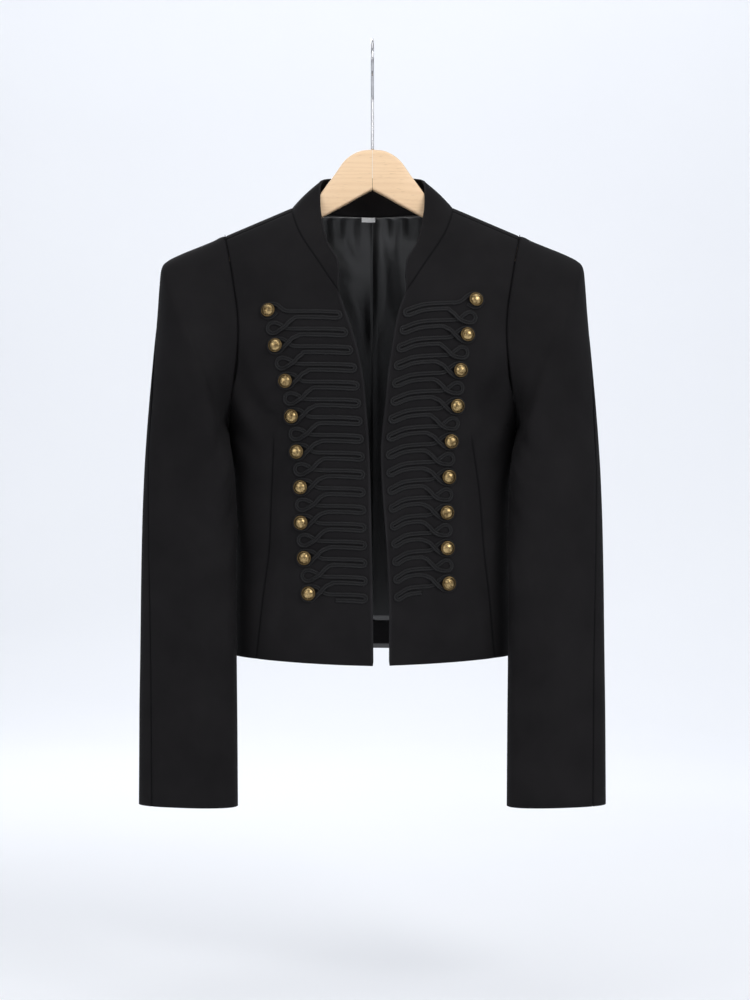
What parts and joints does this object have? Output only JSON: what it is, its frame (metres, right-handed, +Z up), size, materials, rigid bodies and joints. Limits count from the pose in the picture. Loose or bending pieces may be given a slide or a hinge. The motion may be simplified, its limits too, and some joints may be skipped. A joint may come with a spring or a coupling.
{
  "type": "military blazer on a hanger",
  "caption": "Cropped black military blazer with stand collar, looped soutache braid and domed metal buttons, hung open on a wooden hanger.",
  "frame": {"origin": "inner top of the hanger's hook, where it rests on a rail", "axes": "+Z up, the blazer's front faces -Y, the wearer's left is +X"},
  "size_m": [0.507, 0.1619, 0.8404],
  "materials": {
    "suiting": "matt black twill suiting",
    "lining": "black satin",
    "braid": "black soutache braid",
    "label": "white woven tape",
    "brass": "antique brass, brushed",
    "wood": "pale lacquered wood",
    "steel": "bright steel wire"
  },
  "bodies": {
    "root": {"front_right": "suiting", "front_left": "suiting", "back_right": "suiting", "back_left": "suiting", "upper_sleeve_right": "suiting", "upper_sleeve_left": "suiting", "under_sleeve_right": "suiting", "under_sleeve_left": "suiting", "collar": "suiting", "back_hem_facing": "suiting", "back_lining": "lining", "label": "label", "braid_right": "braid", "braid_left": "braid", "hanger_right": "wood", "hanger_left": "wood", "hook": "steel", "button_right_1": "brass", "button_right_2": "brass", "button_right_3": "brass", "button_right_4": "brass", "button_right_5": "brass", "button_right_6": "brass", "button_right_7": "brass", "button_right_8": "brass", "button_right_9": "brass", "button_left_1": "brass", "button_left_2": "brass", "button_left_3": "brass", "button_left_4": "brass", "button_left_5": "brass", "button_left_6": "brass", "button_left_7": "brass", "button_left_8": "brass", "button_left_9": "brass"}
  },
  "joints": []
}
